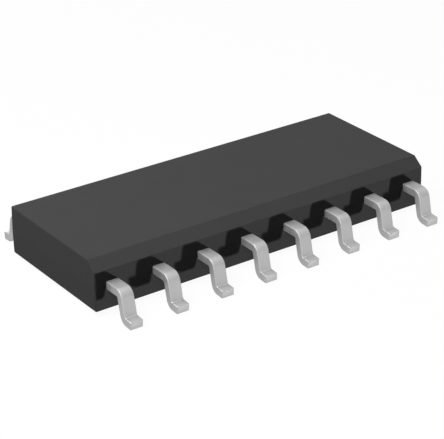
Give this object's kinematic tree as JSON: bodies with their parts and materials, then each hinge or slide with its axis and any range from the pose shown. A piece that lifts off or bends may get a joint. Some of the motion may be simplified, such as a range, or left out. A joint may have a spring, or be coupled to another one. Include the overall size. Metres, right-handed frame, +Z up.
{
  "type": "small-outline integrated circuit package",
  "caption": "Small-outline surface-mount chip: black moulded body with a bevelled front edge, gull-wing leads along both long sides, and the die, pad and bond wires inside.",
  "frame": {"origin": "under the middle of the body, on the plane that the feet stand on", "axes": "+X along the body from the first lead of the front row, +Z up out of the flat top, +Y towards the back row"},
  "size_m": [0.0098, 0.0058, 0.0014],
  "materials": {
    "moulding_compound": "matte, fine grained black epoxy",
    "tinned_lead": "satin tin plating",
    "bare_copper": "stamped copper alloy",
    "silver_adhesive": "cured, silver filled",
    "silicon": "polished",
    "gold_wire": "drawn wire"
  },
  "bodies": {
    "root": {"moulded_body": "moulding_compound", "lead_01": "tinned_lead", "lead_02": "tinned_lead", "lead_03": "tinned_lead", "lead_04": "tinned_lead", "lead_05": "tinned_lead", "lead_06": "tinned_lead", "lead_07": "tinned_lead", "lead_08": "tinned_lead", "lead_09": "tinned_lead", "lead_10": "tinned_lead", "lead_11": "tinned_lead", "lead_12": "tinned_lead", "lead_13": "tinned_lead", "lead_14": "tinned_lead", "lead_15": "tinned_lead", "lead_16": "tinned_lead", "die_pad": "bare_copper", "die_adhesive": "silver_adhesive", "silicon_die": "silicon", "bond_wire_01": "gold_wire", "bond_wire_02": "gold_wire", "bond_wire_03": "gold_wire", "bond_wire_04": "gold_wire", "bond_wire_05": "gold_wire", "bond_wire_06": "gold_wire", "bond_wire_07": "gold_wire", "bond_wire_08": "gold_wire", "bond_wire_09": "gold_wire", "bond_wire_10": "gold_wire", "bond_wire_11": "gold_wire", "bond_wire_12": "gold_wire", "bond_wire_13": "gold_wire", "bond_wire_14": "gold_wire", "bond_wire_15": "gold_wire", "bond_wire_16": "gold_wire"}
  },
  "joints": []
}
